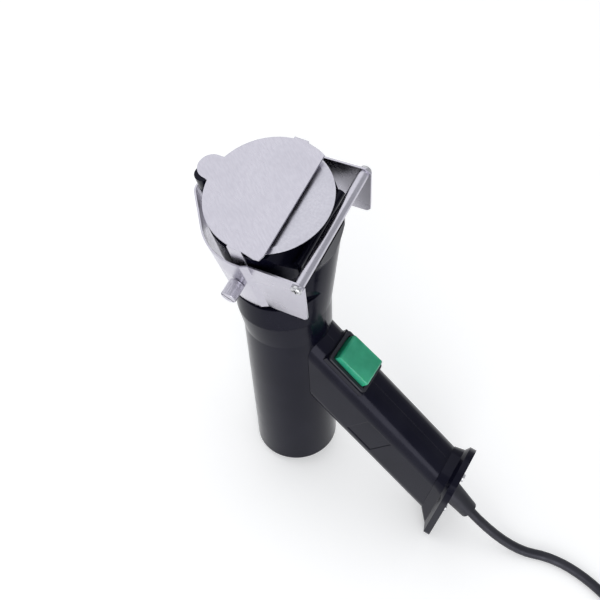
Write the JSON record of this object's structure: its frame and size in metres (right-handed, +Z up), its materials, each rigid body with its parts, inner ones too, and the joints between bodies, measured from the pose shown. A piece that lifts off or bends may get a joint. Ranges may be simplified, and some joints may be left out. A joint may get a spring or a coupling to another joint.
{
  "type": "electric doner slicer",
  "caption": "Hand-held electric doner (gyros) slicer with a covered circular blade, an adjustable slice gauge, a motor barrel and an angled grip.",
  "frame": {"origin": "centre of the tool's footprint box on the table, without the cord", "axes": "+Z up from the table, +X from the barrel towards the grip end, +Y to the left of a user looking along +X"},
  "size_m": [0.4946, 0.1612, 0.2459],
  "materials": {
    "black_plastic": "gloss",
    "screw_steel": "satin",
    "brass": "satin",
    "cast_alloy": "matte",
    "bearing_steel": "gloss",
    "blade_steel": "satin",
    "stainless_sheet": "satin",
    "motor_steel": "matte",
    "grey_plastic": "matte",
    "magnet": "matte",
    "copper": "satin",
    "board_green": "satin",
    "wire_red": "satin",
    "switch_black": "satin",
    "rocker_green": "gloss",
    "cord_rubber": "matte",
    "pin_nickel": "gloss"
  },
  "bodies": {
    "root": {"motor_barrel": "black_plastic", "rear_cap": "black_plastic", "rear_cap_screws": "screw_steel", "head_screws": "screw_steel", "head_housing": "black_plastic", "thumb_inserts": "brass", "bearing_bridge": "cast_alloy", "bridge_screws": "screw_steel", "upper_bearing": "bearing_steel", "lower_bearing": "bearing_steel", "cover_plate": "stainless_sheet", "cover_nut": "screw_steel", "motor_can": "motor_steel", "motor_front_plate": "motor_steel", "motor_rear_cap": "grey_plastic", "motor_magnets": "magnet", "brush_holders": "brass", "brushes": "magnet", "motor_bearings": "bearing_steel", "motor_mount_ring": "cast_alloy", "mount_screws": "screw_steel", "rectifier_board": "board_green", "board_parts": "grey_plastic", "motor_leads": "wire_red", "grip_left": "black_plastic", "grip_right": "black_plastic", "grip_screws": "screw_steel", "grip_end_cap": "black_plastic", "end_cap_screws": "screw_steel", "switch_body": "switch_black", "switch_bezel": "switch_black", "switch_terminals": "brass", "strain_relief": "cord_rubber", "cord_cores": "wire_red", "mains_cord": "cord_rubber", "cord_coil": "cord_rubber", "cord_tail": "cord_rubber", "plug_body": "cord_rubber", "plug_pins": "pin_nickel"},
    "rotor": {"motor_shaft": "bearing_steel", "rotor_core": "motor_steel", "rotor_windings": "copper", "commutator": "copper", "cooling_fan": "grey_plastic", "drive_pinion": "bearing_steel"},
    "blade_set": {"blade_spindle": "bearing_steel", "blade_gear": "brass", "blade_hub": "cast_alloy", "circular_blade": "blade_steel", "blade_nut": "screw_steel"},
    "gauge": {"gauge_bracket": "stainless_sheet", "gauge_bar": "stainless_sheet", "bar_screws": "screw_steel"},
    "near_screw": {"thumb_screw_near": "stainless_sheet"},
    "far_screw": {"thumb_screw_far": "stainless_sheet"},
    "rocker": {"switch_rocker": "rocker_green"}
  },
  "joints": [
    {"name": "rotor_spin", "type": "hinge", "parent": "root", "child": "rotor", "pos_m": [-0.04847, -0.01282, 0.1222], "axis": [-0.1994, 0, 0.9799], "continuous": true},
    {"name": "blade_spin", "type": "hinge", "parent": "root", "child": "blade_set", "pos_m": [-0.0704, -0.0088, 0.22999], "axis": [-0.1926, -0.2588, 0.9465], "continuous": true},
    {"name": "gauge_swing", "type": "hinge", "parent": "root", "child": "gauge", "pos_m": [-0.06973, 0, 0.19662], "axis": [-0.0516, 0.9659, 0.2536], "range_deg": [-5.5, 5]},
    {"name": "near_screw_turn", "type": "hinge", "parent": "root", "child": "near_screw", "pos_m": [-0.06746, -0.0424, 0.18548], "axis": [-0.0516, 0.9659, 0.2536], "range_deg": [0, 720]},
    {"name": "far_screw_turn", "type": "hinge", "parent": "root", "child": "far_screw", "pos_m": [-0.072, 0.0424, 0.20775], "axis": [-0.0516, 0.9659, 0.2536], "range_deg": [-720, 0]},
    {"name": "rocker_tilt", "type": "hinge", "parent": "root", "child": "rocker", "pos_m": [0.00591, -0.0088, 0.11851], "axis": [0, 1, 0], "range_deg": [-8, 0]}
  ],
  "couplings": [
    {"joint": "blade_spin", "follows": "rotor_spin", "ratio": -0.4}
  ]
}
